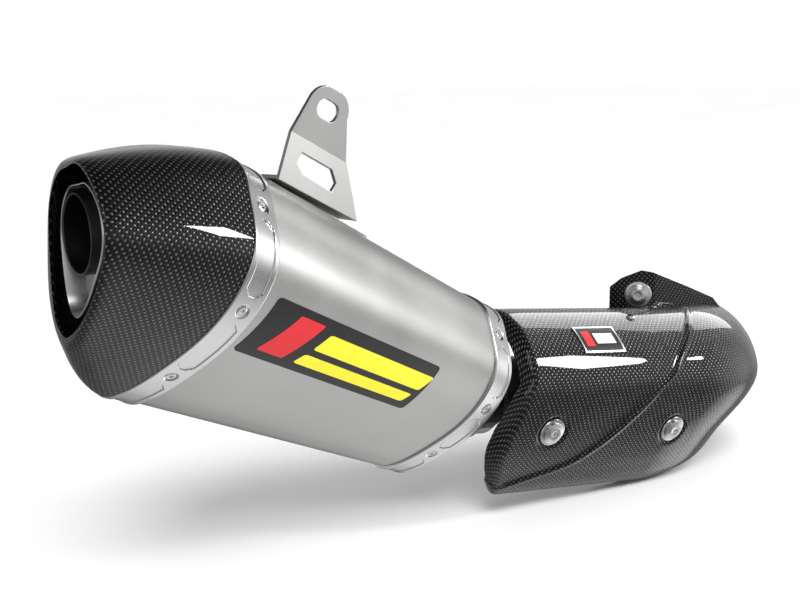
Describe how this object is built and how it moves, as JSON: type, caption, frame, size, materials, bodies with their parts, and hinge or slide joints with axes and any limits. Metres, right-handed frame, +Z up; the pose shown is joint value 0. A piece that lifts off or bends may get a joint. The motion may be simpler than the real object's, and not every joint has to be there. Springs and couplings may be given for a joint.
{
  "type": "racing exhaust silencer with link pipe",
  "caption": "Slip-on motorcycle silencer with tapered hexagonal case, carbon end cap, hanger bracket, bent link pipe and carbon heat shield.",
  "frame": {"origin": "middle of the slot in the hanger bracket, on the bracket's inner face", "axes": "+X forward along the vehicle (gas comes in at +X and leaves at -X), +Y inward towards the vehicle's centre line, +Z up"},
  "size_m": [0.6673, 0.2492, 0.3229],
  "materials": {
    "titanium": "satin bead-blasted titanium",
    "satin_titanium": "fine satin, brighter than the sleeve",
    "carbon_weave": "woven carbon fibre under a clear gloss coat",
    "steel": "plain stainless steel",
    "bright_steel": "polished stainless steel",
    "dark_steel": "heat-darkened stainless steel",
    "graphite": "pressed graphite",
    "wool": "loose basalt and glass wool",
    "rubber": "matt heat-proof rubber",
    "badge_black": "heat-proof printed label, semi-gloss"
  },
  "bodies": {
    "silencer": {"muffler_sleeve": "titanium", "rear_band": "satin_titanium", "front_band": "satin_titanium", "rear_cap": "carbon_weave", "front_cap": "titanium", "rear_bulkhead": "steel", "front_bulkhead": "steel", "packing_wool": "wool", "outlet_collar": "bright_steel", "outlet_plate": "bright_steel", "outlet_tube": "dark_steel", "perforated_core": "steel", "inlet_socket": "titanium", "clamp_band": "steel", "clamp_bolt": "bright_steel", "hanger_bracket": "titanium", "bracket_base": "titanium", "case_badge": "badge_black", "front_rivet_1": "bright_steel", "front_rivet_2": "bright_steel", "front_rivet_3": "bright_steel", "front_rivet_4": "bright_steel", "front_rivet_5": "bright_steel", "front_rivet_6": "bright_steel", "front_rivet_7": "bright_steel", "rear_rivet_1": "bright_steel", "rear_rivet_2": "bright_steel", "rear_rivet_3": "bright_steel", "rear_rivet_4": "bright_steel", "rear_rivet_5": "bright_steel", "rear_rivet_6": "bright_steel", "rear_rivet_7": "bright_steel"},
    "damper": {"noise_damper": "dark_steel", "damper_circlip": "steel"},
    "gasket": {"slip_gasket": "graphite"},
    "link": {"ear_nut": "steel", "ear_stud": "bright_steel", "heat_shield": "carbon_weave", "link_pipe": "titanium", "pipe_boss_front": "titanium", "pipe_boss_rear": "titanium", "shield_badge": "badge_black", "shield_bolt_ear": "bright_steel", "shield_bolt_front": "bright_steel", "shield_bolt_rear": "bright_steel", "shield_bush_ear": "rubber", "shield_bush_front": "rubber", "shield_bush_rear": "rubber", "washer_ear": "bright_steel", "washer_front": "bright_steel", "washer_rear": "bright_steel"},
    "nut": {"clamp_nut": "bright_steel"}
  },
  "joints": [
    {"name": "damper_slide", "type": "slide", "parent": "silencer", "child": "damper", "axis": [-1, 0, 0], "range_m": [0, 0.045]},
    {"name": "link_pull", "type": "slide", "parent": "silencer", "child": "gasket", "axis": [0.9945, 0, -0.1045], "range_m": [0, 0.04]},
    {"name": "link_swivel", "type": "hinge", "parent": "gasket", "child": "link", "pos_m": [0.15742, 0.07295, -0.21269], "axis": [0.9945, 0, -0.1045], "range_deg": [-8, 8]},
    {"name": "clamp_nut_turn", "type": "hinge", "parent": "silencer", "child": "nut", "pos_m": [0.166, 0.1114, -0.2136], "axis": [0.1045, 0, 0.9945], "continuous": true}
  ]
}
